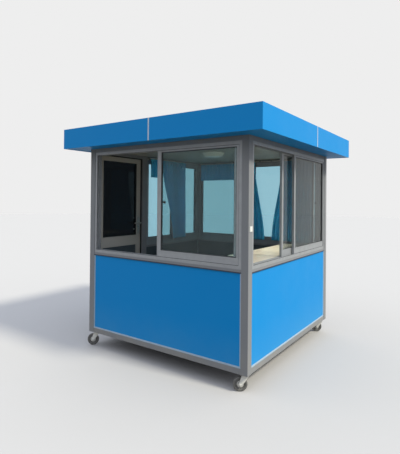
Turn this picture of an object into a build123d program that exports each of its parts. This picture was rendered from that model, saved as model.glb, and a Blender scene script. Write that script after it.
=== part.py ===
from build123d import *
from math import atan2, cos, degrees, radians
import os

os.makedirs("parts", exist_ok=True)

# Frame: X runs along the front wall, Y from front to back, Z up.
# The origin is on the ground under the middle of the body. All sizes are in mm.

# Overall sizes
body_width = 2000
body_depth = 2080
caster_height = 155
# How far a cutting or joining shape runs past the face that it meets.
cut_past = 1

# Levels of the walls, each counted from the piece below it
base_rail_height = 50
panel_opening_height = 816
sill_rail_height = 24
window_height = 1105
head_rail_height = 46

# Depths in the walls, counted inwards from the outer face
post_side = 70
post_corner_chamfer = 2
post_plate_width = 42
post_plate_height = 45
post_plate_thickness = 4
post_plate_inset = 20
post_plate_level = 1166
rail_recess = 4
rail_depth = 66
panel_recess = 10
panel_thickness = 40
lining_thickness = 6
bead_width = 6
bead_depth = 6

# Sliding windows
frame_recess = 6
frame_depth = 64
frame_face = 20
track_lip_height = 10
track_lip_thickness = 2
sash_thickness = 24
sash_outer_inset = 4
sash_gap = 6
stile_width = 34
sash_bottom_rail = 74
sash_top_rail = 28
meeting_overlap = 16
glass_thickness = 5
glass_grip = 8
# How far each drawn-back inner sash stops short of the far jamb.
front_sash_rest = 40
right_sash_rest = 250
latch_length = 30
latch_height = 18
latch_depth = 9
latch_chamfer = 3
latch_overhang = 16
latch_level = 545

# Door in the left wall, hinged on the front left post
mullion_far_edge = 265
mullion_width = 85
door_gap = 7
door_bottom_gap = 8
door_top_gap = 8
door_recess = 0
door_thickness = 40
door_stile = 72
door_top_rail = 60
door_bottom_rail = 100
door_mid_rail = 120
door_mid_rail_height = 857
door_sheet_thickness = 20
hinge_radius = 6
hinge_pin_radius = 3
hinge_pin_sides = 12
hinge_knuckle_sides = 20
hinge_pin_clearance = 0.1
hinge_running_gap = 0.5
hinge_length = 90
hinge_leaf_thickness = 2
hinge_plate_gap = 1.5
hinge_plate_width = 28
hinge_inset = 180
hinge_count = 3
lock_height = 1095
lock_plate_height = 210
lock_plate_width = 38
lock_plate_thickness = 6
lever_length = 110
lever_diameter = 16
lever_neck = 34
lever_above_middle = 30
lock_corner_radius = 6

# Roof
overhang_side = 220
overhang_front = 200
fascia_height = 215
fascia_thickness = 3
fascia_lip = 30
joint_strip_width = 14
joint_strip_thickness = 2
joint_gap = 4
front_joint_offset = 40
side_joint_offset = 35
soffit_thickness = 6
roof_sheet_thickness = 8
roof_sheet_drop = 15
ceiling_thickness = 8
purlin_side = 40
purlin_count = 5
stud_side = 40

# Floor
joist_width = 40
joist_count = 3
deck_thickness = 18
deck_gap = 4

# Inside
counter_depth = 450
counter_thickness = 25
counter_wall_gap = 2
bracket_thickness = 6
bracket_arm = 300
bracket_drop = 220
bracket_tip = 30
bracket_end_gap = 190
bracket_count = 3
lamp_diameter = 250
lamp_base_height = 14
lamp_height = 50
lamp_bowl_share = 0.78
lamp_right_of_middle = 30
lamp_front_of_middle = 100

# Curtains
rod_diameter = 16
rod_from_wall = 36
rod_above_window = 15
rod_corner_gap = 30
rod_bracket_width = 12
rod_bracket_height = 20
valance_drop = 235
valance_thickness = 24
back_valance_width = 640
cloth_gap = 5
cloth_end_gap = 4
hem_above_counter = 32
drape_thickness = 50
left_drape_start = 600
left_drape_top = 515
left_drape_bottom = 260
back_drape_top = 410
back_drape_bottom = 540
middle_drape_start = 100
middle_drape_top = 150
middle_drape_bottom = 295

# Casters
caster_inset = 60
plate_length = 100
plate_width = 85
plate_thickness = 5
plate_corner_radius = 8
wheel_diameter = 125
wheel_width = 34
tyre_chamfer = 5
rim_diameter = 92
web_diameter = 84
web_thickness = 12
hub_diameter = 40
wheel_bore_clearance = 0.1
wheel_sides = 36
axle_sides = 16
swivel_diameter = 58
swivel_sides = 32
swivel_height = 12
fork_clearance = 0.5
fork_plate = 4
fork_gap = 5
fork_root = 10
fork_ear_radius = 16
fork_ear_sides = 24
fork_crown_cut = 5
caster_trail = 38
axle_diameter = 12
caster_heading = 215

# Derived positions
hx = body_width / 2
hy = body_depth / 2
z_base = caster_height
z_rail_top = z_base + base_rail_height
z_panel_top = z_rail_top + panel_opening_height
z_sill_top = z_panel_top + sill_rail_height
z_window_top = z_sill_top + window_height
z_body_top = z_window_top + head_rail_height
z_roof_bottom = z_body_top - soffit_thickness
z_roof_top = z_roof_bottom + fascia_height
bay_front = hx - post_side
bay_side = hy - post_side
mullion_near_edge = mullion_far_edge - mullion_width

# Each wall: the turn about Z that brings the front wall onto it, and how far out it stands.
walls = {
    "front": (0, hy),
    "right": (90, hx),
    "back": (180, hy),
    "left": (270, hx),
}


def block(x0, x1, y0, y1, z0, z1):
    """A block between two corners."""
    size = Box(x1 - x0, y1 - y0, z1 - z0)
    return Pos((x0 + x1) / 2, (y0 + y1) / 2, (z0 + z1) / 2) * size


def on_wall(wall, shape):
    """Moves a shape made along X, with its depth inwards along +Y, onto one wall."""
    turn, out = walls[wall]
    return Rot(0, 0, turn) * Pos(0, -out, 0) * shape


def ring(x0, x1, z0, z1, sides, bottom, top, y0, y1):
    """A frame in the wall's plane with its own widths at the sides, bottom and top."""
    outer = block(x0, x1, y0, y1, z0, z1)
    return outer - block(x0 + sides, x1 - sides, y0 - cut_past, y1 + cut_past, z0 + bottom, z1 - top)


def save(node, shapes):
    """Writes one node, made of one solid or of several that stay apart."""
    solids = []
    for shape in shapes:
        solids += shape.solids()
    if len(solids) == 1:
        result = solids[0]
    else:
        result = Compound(children=solids)
    result.label = node
    export_step(result, f"parts/{node}.step")


# Corner posts: one square tube at each corner, with slightly broken edges.
posts = []
for sx in (-1, 1):
    for sy in (-1, 1):
        post = Box(post_side, post_side, z_body_top - z_base)
        post = chamfer(post.edges().filter_by(Axis.Z), post_corner_chamfer)
        posts.append(Pos(sx * (hx - post_side / 2), sy * (hy - post_side / 2), (z_base + z_body_top) / 2) * post)
save("corner_posts", posts)

# Rails that run from post to post at the foot, under the windows and over them.
base_rails = []
head_rails = []
for wall, bay in (("front", bay_front), ("right", bay_side), ("back", bay_front), ("left", bay_side)):
    rail = block(-bay, bay, rail_recess, rail_recess + rail_depth, z_base, z_rail_top)
    base_rails.append(on_wall(wall, rail))
    rail = block(-bay, bay, rail_recess, rail_recess + rail_depth, z_window_top, z_body_top)
    head_rails.append(on_wall(wall, rail))
save("base_rails", base_rails)
save("head_rails", head_rails)

# A small plate on the outer face of the front right post.
plate_x = -hy + post_plate_inset
post_plate = block(plate_x, plate_x + post_plate_width, -post_plate_thickness, 0,
                   z_rail_top + post_plate_level, z_rail_top + post_plate_level + post_plate_height)
save("post_plate", [on_wall("right", post_plate)])

# The door post between the door and the window of the left wall.
mullion = block(mullion_near_edge, mullion_far_edge, 0, post_side, z_rail_top, z_window_top)
mullion = chamfer(mullion.edges().filter_by(Axis.Z), post_corner_chamfer)
save("door_post", [on_wall("left", mullion)])

# Bays that hold a closed lower panel and a window: wall, start and end along it, and where the inner
# sash rests: a distance from the far jamb where it is drawn back, or None where the window is shut.
bays = [
    ("front", -bay_front, bay_front, front_sash_rest),
    ("right", -bay_side, bay_side, right_sash_rest),
    ("back", -bay_front, bay_front, None),
    ("left", -bay_side, mullion_near_edge, None),
]

panels = []
linings = []
beads = []
sills = []
panel_back = panel_recess + panel_thickness
lining_face = panel_back + lining_thickness
for wall, a0, a1, rest in bays:
    panels.append(on_wall(wall, block(a0, a1, panel_recess, panel_back, z_rail_top, z_panel_top)))
    linings.append(on_wall(wall, block(a0, a1, panel_back, lining_face, z_rail_top, z_panel_top)))
    bead = ring(a0, a1, z_rail_top, z_panel_top, bead_width, bead_width, bead_width,
                panel_recess - bead_depth, panel_recess)
    beads.append(on_wall(wall, bead))
    sills.append(on_wall(wall, block(a0, a1, rail_recess, rail_recess + rail_depth, z_panel_top, z_sill_top)))
save("wall_panels", panels)
save("inner_lining", linings)
save("panel_beads", beads)
save("sill_rails", sills)


def sash(width, height, y0):
    """A sash with its lower left corner at the origin, and the pane that sits in its groove."""
    y1 = y0 + sash_thickness
    frame = ring(0, width, 0, height, stile_width, sash_bottom_rail, sash_top_rail, y0, y1)
    middle = (y0 + y1) / 2
    pane = block(stile_width - glass_grip, width - stile_width + glass_grip,
                 middle - glass_thickness / 2, middle + glass_thickness / 2,
                 sash_bottom_rail - glass_grip, height - sash_top_rail + glass_grip)
    return frame - pane, pane


# Sliding windows: a frame with two tracks, an outer sash at one end and an inner sash that slides past it.
latches = []
for wall, a0, a1, rest in bays:
    y0 = frame_recess
    y1 = frame_recess + frame_depth
    frame = ring(a0, a1, z_sill_top, z_window_top, frame_face, frame_face, frame_face, y0, y1)
    inner_a0 = a0 + frame_face
    inner_a1 = a1 - frame_face
    foot = z_sill_top + frame_face
    head = z_window_top - frame_face
    sash_width = (inner_a1 - inner_a0 + meeting_overlap) / 2
    sash_height = window_height - 2 * frame_face
    outer_y = y0 + sash_outer_inset
    inner_y = outer_y + sash_thickness + sash_gap
    # Thin lips round the inside of the frame keep each sash in its own track.
    middle_lip = outer_y + sash_thickness + (sash_gap - track_lip_thickness) / 2
    for lip_y in (y0, middle_lip, y1 - track_lip_thickness):
        lip = ring(inner_a0, inner_a1, foot, head, track_lip_height, track_lip_height, track_lip_height,
                   lip_y, lip_y + track_lip_thickness)
        frame = frame + lip
    outer_frame, outer_pane = sash(sash_width, sash_height, outer_y)
    inner_frame, inner_pane = sash(sash_width, sash_height, inner_y)
    inner_x = inner_a0 if rest is None else inner_a1 - rest - sash_width
    outer_place = Pos(inner_a1 - sash_width, 0, foot)
    inner_place = Pos(inner_x, 0, foot)
    save(f"window_{wall}_frame", [on_wall(wall, frame)])
    save(f"window_{wall}_sashes", [on_wall(wall, outer_place * outer_frame), on_wall(wall, inner_place * inner_frame)])
    save(f"window_{wall}_glass", [on_wall(wall, outer_place * outer_pane), on_wall(wall, inner_place * inner_pane)])
    # A latch on the room side of the inner sash, over the inner edge of its stile next to the jamb.
    latch_x = inner_x + stile_width + latch_overhang - latch_length
    latch_y = inner_y + sash_thickness
    latch_z = foot + latch_level
    latch = block(latch_x, latch_x + latch_length, latch_y, latch_y + latch_depth,
                  latch_z - latch_height / 2, latch_z + latch_height / 2)
    latch = chamfer(latch.edges().filter_by(Axis.Z).group_by(Axis.Y)[-1], latch_chamfer)
    latches.append(on_wall(wall, latch))
save("window_latches", latches)

# Door leaf: stiles and rails in one frame, glass above the middle rail and a closed sheet below it.
door_x0 = mullion_far_edge + door_gap
door_x1 = bay_side - door_gap
door_z0 = z_rail_top + door_bottom_gap
door_z1 = z_window_top - door_top_gap
door_y0 = door_recess
door_y1 = door_recess + door_thickness
mid_z0 = door_z0 + door_mid_rail_height
mid_z1 = mid_z0 + door_mid_rail
leaf = ring(door_x0, door_x1, door_z0, door_z1, door_stile, door_bottom_rail, door_top_rail, door_y0, door_y1)
leaf = leaf + block(door_x0 + door_stile, door_x1 - door_stile, door_y0, door_y1, mid_z0, mid_z1)
door_middle = (door_y0 + door_y1) / 2
door_pane = block(door_x0 + door_stile - glass_grip, door_x1 - door_stile + glass_grip,
                  door_middle - glass_thickness / 2, door_middle + glass_thickness / 2,
                  mid_z1 - glass_grip, door_z1 - door_top_rail + glass_grip)
door_sheet = block(door_x0 + door_stile - glass_grip, door_x1 - door_stile + glass_grip,
                   door_middle - door_sheet_thickness / 2, door_middle + door_sheet_thickness / 2,
                   door_z0 + door_bottom_rail - glass_grip, mid_z0 + glass_grip)
save("door_leaf", [on_wall("left", leaf - door_pane - door_sheet)])
save("door_glass", [on_wall("left", door_pane)])
save("door_sheet", [on_wall("left", door_sheet)])

# Hinges: three knuckles on one pin. The outer two belong to the post and the middle one to the door.
hinge_x = bay_side - door_gap / 2
hinge_y = -hinge_radius
knuckle = (hinge_length - 2 * hinge_running_gap) / 3


def hinge_half(direction, knuckle_spans, z):
    """A plate on the outer face, to the given side of the pin, with a tongue into each of its knuckles."""
    near = hinge_radius + hinge_plate_gap
    xs = sorted((direction * near, direction * (near + hinge_plate_width)))
    half = block(xs[0], xs[1], -hinge_leaf_thickness, 0, -hinge_length / 2, hinge_length / 2)
    for low, high in knuckle_spans:
        xs = sorted((0, direction * (near + cut_past)))
        half = half + block(xs[0], xs[1], -hinge_leaf_thickness, 0, low, high)
        barrel = extrude(RegularPolygon(hinge_radius, hinge_knuckle_sides), (high - low) / 2, both=True)
        half = half + Pos(0, hinge_y, (low + high) / 2) * barrel
    return Pos(hinge_x, 0, z) * half


post_halves = []
door_halves = []
span = door_z1 - door_z0 - 2 * hinge_inset
for i in range(hinge_count):
    z = door_z0 + hinge_inset + span * i / (hinge_count - 1)
    outer_spans = [(-hinge_length / 2, -hinge_length / 2 + knuckle), (hinge_length / 2 - knuckle, hinge_length / 2)]
    pin = Pos(hinge_x, hinge_y, z) * extrude(
        RegularPolygon(hinge_pin_radius, hinge_pin_sides), hinge_length / 2, both=True)
    # The bore's flats, not its corners, keep the clearance, so the pin turns freely in it.
    bore_radius = (hinge_pin_radius + hinge_pin_clearance) / cos(radians(180 / hinge_pin_sides))
    bore = Pos(hinge_x, hinge_y, z) * extrude(
        RegularPolygon(bore_radius, hinge_pin_sides), hinge_length / 2 + cut_past, both=True)
    post_halves.append(on_wall("left", hinge_half(1, outer_spans, z) + pin))
    door_halves.append(on_wall("left", hinge_half(-1, [(-knuckle / 2, knuckle / 2)], z) - bore))
save("door_hinge_fixed_leaves", post_halves)
save("door_hinge_moving_leaves", door_halves)

# Lock: a plate with a lever handle on each face of the leaf's free stile.
lock_z = door_z0 + lock_height
lock_x = door_x0 + door_stile / 2


def lock_side(face, outwards):
    """One lock plate with its lever. outwards is -1 on the outer face and +1 on the inner face."""
    plate = Box(lock_plate_width, lock_plate_thickness, lock_plate_height)
    plate = chamfer(plate.edges().filter_by(Axis.Y), lock_corner_radius)
    plate = Pos(lock_x, face + outwards * lock_plate_thickness / 2, lock_z) * plate
    neck = Rot(90, 0, 0) * Cylinder(lever_diameter / 2, lever_neck)
    neck = Pos(lock_x, face + outwards * (lock_plate_thickness + lever_neck / 2), lock_z + lever_above_middle) * neck
    grip = Rot(0, 90, 0) * Cylinder(lever_diameter / 2, lever_length)
    grip_y = face + outwards * (lock_plate_thickness + lever_neck)
    grip = Pos(lock_x + lever_length / 2 - lever_diameter / 2, grip_y, lock_z + lever_above_middle) * grip
    return plate + neck + grip


save("door_lock", [on_wall("left", lock_side(door_y0, -1)), on_wall("left", lock_side(door_y1, 1))])

# Roof: fascia sheets folded round the corners, joined near the middle of each side under a strip.
rx = hx + overhang_side
ry = hy + overhang_front
roof_sheet_top = z_roof_top - roof_sheet_drop
roof_sheet_bottom = roof_sheet_top - roof_sheet_thickness
fascia = block(-rx, rx, -ry, ry, z_roof_bottom, z_roof_top)
fascia = fascia - block(-rx + fascia_thickness, rx - fascia_thickness, -ry + fascia_thickness, ry - fascia_thickness,
                        z_roof_bottom + fascia_thickness, z_roof_top + cut_past)
fascia = fascia - block(-rx + fascia_lip, rx - fascia_lip, -ry + fascia_lip, ry - fascia_lip,
                        z_roof_bottom - cut_past, z_roof_top)
joints = [
    ("front", front_joint_offset, ry),
    ("right", side_joint_offset, rx),
    ("back", front_joint_offset, ry),
    ("left", side_joint_offset, rx),
]
strips = []
for wall, offset, out in joints:
    turn = walls[wall][0]
    slot = block(offset - joint_gap / 2, offset + joint_gap / 2, -out - cut_past,
                 -out + fascia_lip + cut_past, z_roof_bottom - cut_past, z_roof_top + cut_past)
    fascia = fascia - Rot(0, 0, turn) * slot
    strip = block(offset - joint_strip_width / 2, offset + joint_strip_width / 2,
                  -out - joint_strip_thickness, -out, z_roof_bottom, z_roof_top)
    strips.append(Rot(0, 0, turn) * strip)
save("roof_fascia", [fascia])
save("fascia_joint_strips", strips)

inset = fascia_thickness
roof_sheet = block(-rx + inset, rx - inset, -ry + inset, ry - inset, roof_sheet_bottom, roof_sheet_top)
save("roof_sheet", [roof_sheet])

soffit = block(-rx + inset, rx - inset, -ry + inset, ry - inset, z_roof_bottom + fascia_thickness,
               z_roof_bottom + soffit_thickness)
soffit = soffit - block(-hx, hx, -hy, hy, z_roof_bottom - cut_past, z_body_top + cut_past)
save("roof_soffit", [soffit])

# Purlins carry the roof sheet from side to side. Studs hold them up over the two side walls and the ceiling.
purlins = []
studs = []
purlin_bottom = roof_sheet_bottom - purlin_side
purlin_span = 2 * ry - 2 * fascia_thickness - purlin_side
stud_out = hx - post_side / 2
for i in range(purlin_count):
    y = -purlin_span / 2 + purlin_span * i / (purlin_count - 1)
    purlins.append(block(-rx + fascia_thickness, rx - fascia_thickness, y - purlin_side / 2, y + purlin_side / 2,
                         purlin_bottom, roof_sheet_bottom))
    if abs(y) < hy:
        for x in (-stud_out, stud_out):
            studs.append(block(x - stud_side / 2, x + stud_side / 2, y - stud_side / 2, y + stud_side / 2,
                               z_body_top, purlin_bottom))
save("roof_purlins", purlins)
save("roof_studs", studs)

# Ceiling sheet between the head rails, cut clear of the posts, with the lamp under it.
rail_back = rail_recess + rail_depth
ceiling = block(-hx + rail_back, hx - rail_back, -hy + rail_back, hy - rail_back,
                z_body_top - ceiling_thickness, z_body_top)
for sx in (-1, 1):
    for sy in (-1, 1):
        ceiling = ceiling - Pos(sx * (hx - post_side / 2), sy * (hy - post_side / 2), z_body_top) * Box(
            post_side, post_side, 2 * (ceiling_thickness + cut_past))
save("ceiling", [ceiling])
lamp_r = lamp_diameter / 2
lamp_profile = Plane.XZ * Polyline(
    (0, 0), (lamp_r, 0), (lamp_r, -lamp_base_height), (lamp_bowl_share * lamp_r, -lamp_height),
    (0, -lamp_height), close=True)
lamp = revolve(make_face(lamp_profile), Axis.Z)
lamp = Pos(lamp_right_of_middle, -lamp_front_of_middle, z_body_top - ceiling_thickness) * lamp
save("ceiling_lamp", [lamp])

# Floor: joists between the side rails and a deck that rests on them and on the rails.
joists = []
joist_span = body_depth - 2 * rail_back
for i in range(joist_count):
    y = -joist_span / 2 + joist_span * (i + 1) / (joist_count + 1)
    joists.append(block(-hx + rail_back, hx - rail_back, y - joist_width / 2, y + joist_width / 2, z_base, z_rail_top))
save("floor_joists", joists)
deck_edge = lining_face + deck_gap
deck = block(-hx + deck_edge, hx - deck_edge, -hy + deck_edge, hy - deck_edge, z_rail_top, z_rail_top + deck_thickness)
notch = post_side + deck_gap
for sx in (-1, 1):
    for sy in (-1, 1):
        deck = deck - Pos(sx * (hx - notch / 2), sy * (hy - notch / 2), z_rail_top) * Box(
            notch, notch, 2 * (deck_thickness + cut_past))
mullion_cut = block(mullion_near_edge - deck_gap, mullion_far_edge + deck_gap, 0, post_side + deck_gap,
                    z_rail_top - cut_past, z_rail_top + deck_thickness + cut_past)
deck = deck - on_wall("left", mullion_cut)
save("floor_deck", [deck])

# Counter along the inside of the right wall, from post to post, on brackets.
counter_y0 = frame_recess + frame_depth + counter_wall_gap
counter = block(-bay_side, bay_side, counter_y0, counter_y0 + counter_depth, z_sill_top, z_sill_top + counter_thickness)
save("counter_top", [on_wall("right", counter)])
brackets = []
bracket_span = 2 * bay_side - 2 * bracket_end_gap
for i in range(bracket_count):
    x = -bay_side + bracket_end_gap + bracket_span * i / (bracket_count - 1)
    tip = lining_face + bracket_arm
    low = z_panel_top - bracket_drop
    profile = Plane.YZ * Polyline((lining_face, low), (lining_face, z_panel_top), (rail_back, z_panel_top),
                                  (rail_back, z_sill_top), (tip, z_sill_top), (tip, z_sill_top - bracket_tip),
                                  (lining_face + bracket_tip, low), close=True)
    bracket = extrude(make_face(profile), bracket_thickness / 2, both=True)
    brackets.append(on_wall("right", Pos(x, 0, 0) * bracket))
save("counter_brackets", brackets)

# Curtain rods over the left and back windows, each on two brackets from the head rail.
rod_z = z_window_top + rod_above_window
rod_y = rail_back + rod_from_wall
rod_spans = {
    "left": (-(hy - rod_y - rod_corner_gap), mullion_near_edge - rod_corner_gap / 2),
    "back": (-(hx - rod_y - rod_corner_gap), hx - rod_y - rod_corner_gap),
}
rods = []
for wall, (x0, x1) in rod_spans.items():
    rod = Pos((x0 + x1) / 2, rod_y, rod_z) * (Rot(0, 90, 0) * Cylinder(rod_diameter / 2, x1 - x0))
    for x in (x0, x1 - rod_bracket_width):
        rod = rod + block(x, x + rod_bracket_width, rail_back, rod_y,
                          rod_z - rod_bracket_height / 2, rod_z + rod_bracket_height / 2)
    rods.append(on_wall(wall, rod))
save("curtain_rods", rods)


cloth_top = rod_z - rod_diameter / 2


def valance(wall, x0, x1):
    """A short flat cloth that hangs from the rod."""
    y0 = rod_y - valance_thickness / 2
    return on_wall(wall, block(x0, x1, y0, y0 + valance_thickness, cloth_top - valance_drop, cloth_top))


def drape(wall, edge, direction, top_width, bottom_width):
    """A long gathered cloth with one upright edge. Its free edge runs in a curve from the top to the bottom width."""
    top_x = edge + direction * top_width
    bottom_x = edge + direction * bottom_width
    foot = z_sill_top + counter_thickness + hem_above_counter
    free_edge = Spline((top_x, 0, cloth_top), (bottom_x, 0, foot), tangents=[(0, 0, -1), (0, 0, -1)])
    outline = [
        Line((edge, 0, foot), (edge, 0, cloth_top)),
        Line((edge, 0, cloth_top), (top_x, 0, cloth_top)),
        free_edge,
        Line((bottom_x, 0, foot), (edge, 0, foot)),
    ]
    sheet = extrude(make_face(Wire(outline)), drape_thickness / 2, dir=(0, 1, 0), both=True)
    return on_wall(wall, Pos(0, rod_y, 0) * sheet)


# The left window has a valance next to the door post and one drape. The back window has a valance over
# its left half, a drape in the middle and one drawn to the right end.
left_x0, left_x1 = rod_spans["left"]
back_x0, back_x1 = rod_spans["back"]
cloth_end = rod_bracket_width + cloth_end_gap
save("curtain_valances", [
    valance("left", left_drape_top - left_drape_start + cloth_gap, left_x1 - cloth_end),
    valance("back", back_x1 - cloth_end - back_valance_width, back_x1 - cloth_end),
])
save("curtain_drapes", [
    drape("left", -left_drape_start, 1, left_drape_top, left_drape_bottom),
    drape("back", back_x0 + cloth_end, 1, back_drape_top, back_drape_bottom),
    drape("back", middle_drape_start, -1, middle_drape_top, middle_drape_bottom),
])

# Casters: a plate under each corner, a swivel fork and a wheel.
plate_bottom = z_base - plate_thickness
swivel_bottom = plate_bottom - swivel_height
wheel_r = wheel_diameter / 2
corners = {
    "front_left": (-1, -1),
    "front_right": (1, -1),
    "back_left": (-1, 1),
    "back_right": (1, 1),
}
plates = []
for corner, (sx, sy) in corners.items():
    cx = sx * (hx - caster_inset)
    cy = sy * (hy - caster_inset)
    plate = Box(plate_length, plate_width, plate_thickness)
    plate = chamfer(plate.edges().filter_by(Axis.Z), plate_corner_radius)
    plates.append(Pos(cx, cy, plate_bottom + plate_thickness / 2) * plate)
    # The fork: a round head under the plate and two cheeks that carry the axle.
    head_low = plate_bottom - fork_clearance - swivel_height
    head = Pos(0, 0, head_low) * extrude(RegularPolygon(swivel_diameter / 2, swivel_sides), swivel_height)
    cheek_half = wheel_width / 2 + fork_gap
    fork = head
    # Each cheek tapers from the head down to a round ear at the axle.
    ear = Pos(caster_trail, wheel_r) * RegularPolygon(fork_ear_radius, fork_ear_sides)
    root = Pos(0, head_low - fork_root / 2) * Rectangle(swivel_diameter, fork_root)
    cheek_face = Plane.XZ * make_hull((ear + root).edges())
    for side in (-1, 1):
        cheek = extrude(cheek_face, fork_plate / 2, both=True)
        fork = fork + Pos(0, side * (cheek_half + fork_plate / 2), 0) * cheek
    crown = block(-swivel_diameter / 2, swivel_diameter / 2, -cheek_half - fork_plate, cheek_half + fork_plate,
                  head_low - fork_plate, head_low)
    fork = fork + chamfer(crown.edges().filter_by(Axis.Z), fork_crown_cut)
    axle_length = 2 * (cheek_half + fork_plate)
    axle = Pos(caster_trail, 0, wheel_r) * (Rot(90, 0, 0) * extrude(
        RegularPolygon(axle_diameter / 2, axle_sides), axle_length / 2, both=True))
    fork = fork + axle
    place = Pos(cx, cy, 0) * Rot(0, 0, caster_heading)
    save(f"caster_fork_{corner}", [place * fork])
    # The wheel stands on one flat of its many sides: a tyre with sloped shoulders, a thin web and a hub.
    half = wheel_width / 2
    tread = half - 2 * tyre_chamfer
    flat_to_corner = 1 / cos(radians(180 / wheel_sides))
    tyre = RegularPolygon(wheel_r * flat_to_corner, wheel_sides, rotation=180 / wheel_sides)
    rim = RegularPolygon(rim_diameter / 2, wheel_sides, rotation=180 / wheel_sides)
    hub = RegularPolygon(hub_diameter / 2, wheel_sides, rotation=180 / wheel_sides)
    wheel = extrude(tyre, tread, both=True)
    recess_depth = half - tyre_chamfer - web_thickness / 2
    recess_taper = degrees(atan2((rim_diameter - web_diameter) / 2, recess_depth))
    for side in (0, 180):
        turn = Rot(side, 0, 0)
        shoulder = Pos(0, 0, tread) * extrude(tyre, tyre_chamfer, taper=45)
        recess = Pos(0, 0, half - tyre_chamfer) * extrude(rim, -recess_depth, taper=recess_taper)
        wheel = (wheel + turn * shoulder) - turn * recess
    wheel = wheel + extrude(hub, half, both=True)
    wheel = wheel - Cylinder(axle_diameter / 2 + wheel_bore_clearance, 2 * wheel_width)
    wheel = Pos(caster_trail, 0, wheel_r) * (Rot(90, 0, 0) * wheel)
    save(f"caster_wheel_{corner}", [place * wheel])
save("caster_plates", plates)
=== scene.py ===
# %% [markdown]
# # A guard booth on casters
#
# A guard booth is a small room of grey box-section posts and rails. Blue steel-faced panels close it up
# to the sill, sliding aluminium windows stand above them, and a flat roof with a deep blue fascia reaches
# out all round. The CAD model already holds every rigid part in its place. This file dresses it: materials
# for each part, then the things that are too soft or too small for the CAD, such as curtains, glazing
# seals, screws and bolts. It starts by loading the CAD model as a frame that isn't moved or edited.

# %% Load the frame
import math
import random

import bmesh
import bpy
from mathutils import Matrix, Vector


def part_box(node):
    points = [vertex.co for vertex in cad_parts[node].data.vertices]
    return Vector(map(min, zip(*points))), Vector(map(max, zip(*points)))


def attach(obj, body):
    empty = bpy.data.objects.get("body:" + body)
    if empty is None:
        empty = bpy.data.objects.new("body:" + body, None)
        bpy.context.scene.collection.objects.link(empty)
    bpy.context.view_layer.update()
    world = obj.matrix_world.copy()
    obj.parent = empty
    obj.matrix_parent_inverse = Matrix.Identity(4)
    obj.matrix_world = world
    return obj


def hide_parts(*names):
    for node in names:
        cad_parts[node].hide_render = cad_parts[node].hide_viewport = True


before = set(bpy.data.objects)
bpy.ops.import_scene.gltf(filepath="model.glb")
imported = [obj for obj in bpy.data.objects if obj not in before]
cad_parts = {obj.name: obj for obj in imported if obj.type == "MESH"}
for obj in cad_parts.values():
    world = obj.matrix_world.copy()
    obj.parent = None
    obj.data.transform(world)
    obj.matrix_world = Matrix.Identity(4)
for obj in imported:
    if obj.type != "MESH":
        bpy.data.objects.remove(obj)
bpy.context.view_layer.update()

# %% [markdown]
# ## The camera
#
# The photograph was taken off the front right corner, with the lens 1.64 m above the ground and nearly
# level. Its camera was worked out beforehand from the straight edges in the picture. Blender takes such a
# camera as a matrix whose columns are the picture's right, its up, and the way back from the scene. The
# focal length was found in pixels of the photograph, and Blender wants it in millimetres on a sensor that
# is 36 mm wide. A small shift moves the picture's centre.

# %% The camera
eye = Vector((2.5967, -4.0634, 1.6413))
yaw = math.radians(34.975)
pitch = math.radians(0.550)
roll = math.radians(0.515)
focal_pixels = 403.228
photo_width = 400
sensor_width = 36

forward = Vector((-math.sin(yaw) * math.cos(pitch), math.cos(yaw) * math.cos(pitch), math.sin(pitch)))
level = Vector((math.cos(yaw), math.sin(yaw), 0))
upward = level.cross(forward)
right = level * math.cos(roll) + upward * math.sin(roll)
up = upward * math.cos(roll) - level * math.sin(roll)
camera_data = bpy.data.cameras.new("camera")
camera_data.sensor_fit = "HORIZONTAL"
camera_data.sensor_width = sensor_width
camera_data.lens = focal_pixels * sensor_width / photo_width
camera_data.shift_x = 0.0038
camera_data.shift_y = -0.0787
camera = bpy.data.objects.new("camera", camera_data)
camera.matrix_world = Matrix((
    (right.x, up.x, -forward.x, eye.x),
    (right.y, up.y, -forward.y, eye.y),
    (right.z, up.z, -forward.z, eye.z),
    (0, 0, 0, 1),
))
bpy.context.scene.collection.objects.link(camera)
bpy.context.scene.camera = camera
print("camera lens", round(camera_data.lens, 2), "mm")

# %% [markdown]
# ## Four small tools for materials
#
# Colours are easiest to pick as sRGB hex values, as a paint chart gives them, but a shader works with
# linear light. One function does that change. Another starts a material with its main shader. The third
# adds one node with its settings and links, so that a pattern reads as a short list of steps, and the last
# links the finished pattern to the shader.

# %% Colour and node tools
mm = 0.001


def paint(hex_value):
    """An sRGB hex value as a linear colour."""
    channels = []
    for i in (1, 3, 5):
        c = int(hex_value[i:i + 2], 16) / 255
        channels.append(c / 12.92 if c <= 0.04045 else ((c + 0.055) / 1.055) ** 2.4)
    return (*channels, 1)


def start_material(name, **sockets):
    """A new material with its main shader. The constant sockets are set on the shader itself."""
    material = bpy.data.materials.new(name)
    material.use_nodes = True
    tree = material.node_tree
    shader = tree.nodes["Principled BSDF"]
    for socket, value in sockets.items():
        shader.inputs[socket.replace("_", " ")].default_value = value
    return material, tree, shader


def add(tree, kind, settings=None, inputs=None):
    """Adds one node. An input is a constant, or another node's output to link."""
    made = tree.nodes.new(kind)
    for name, value in (settings or {}).items():
        setattr(made, name, value)
    for key, value in (inputs or {}).items():
        if isinstance(value, bpy.types.NodeSocket):
            tree.links.new(value, made.inputs[key])
        else:
            made.inputs[key].default_value = value
    return made


def connect(tree, shader, **outputs):
    """Links the outputs of a pattern to the sockets of the main shader."""
    for socket, output in outputs.items():
        tree.links.new(output, shader.inputs[socket.replace("_", " ")])


print("tools ready")

# %% [markdown]
# ## Grey coated steel
#
# The posts and rails are steel box sections with a grey coating. Such a coating is satin, with a slight
# unevenness that is called orange peel, and outdoors it collects dust at the foot and faint streaks under
# ledges. The dust is a gradient along the height that a cloudy noise breaks up, and the streaks are a noise
# that is stretched along Z. Both read Object coordinates, which are metres in the booth's own frame.

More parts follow.
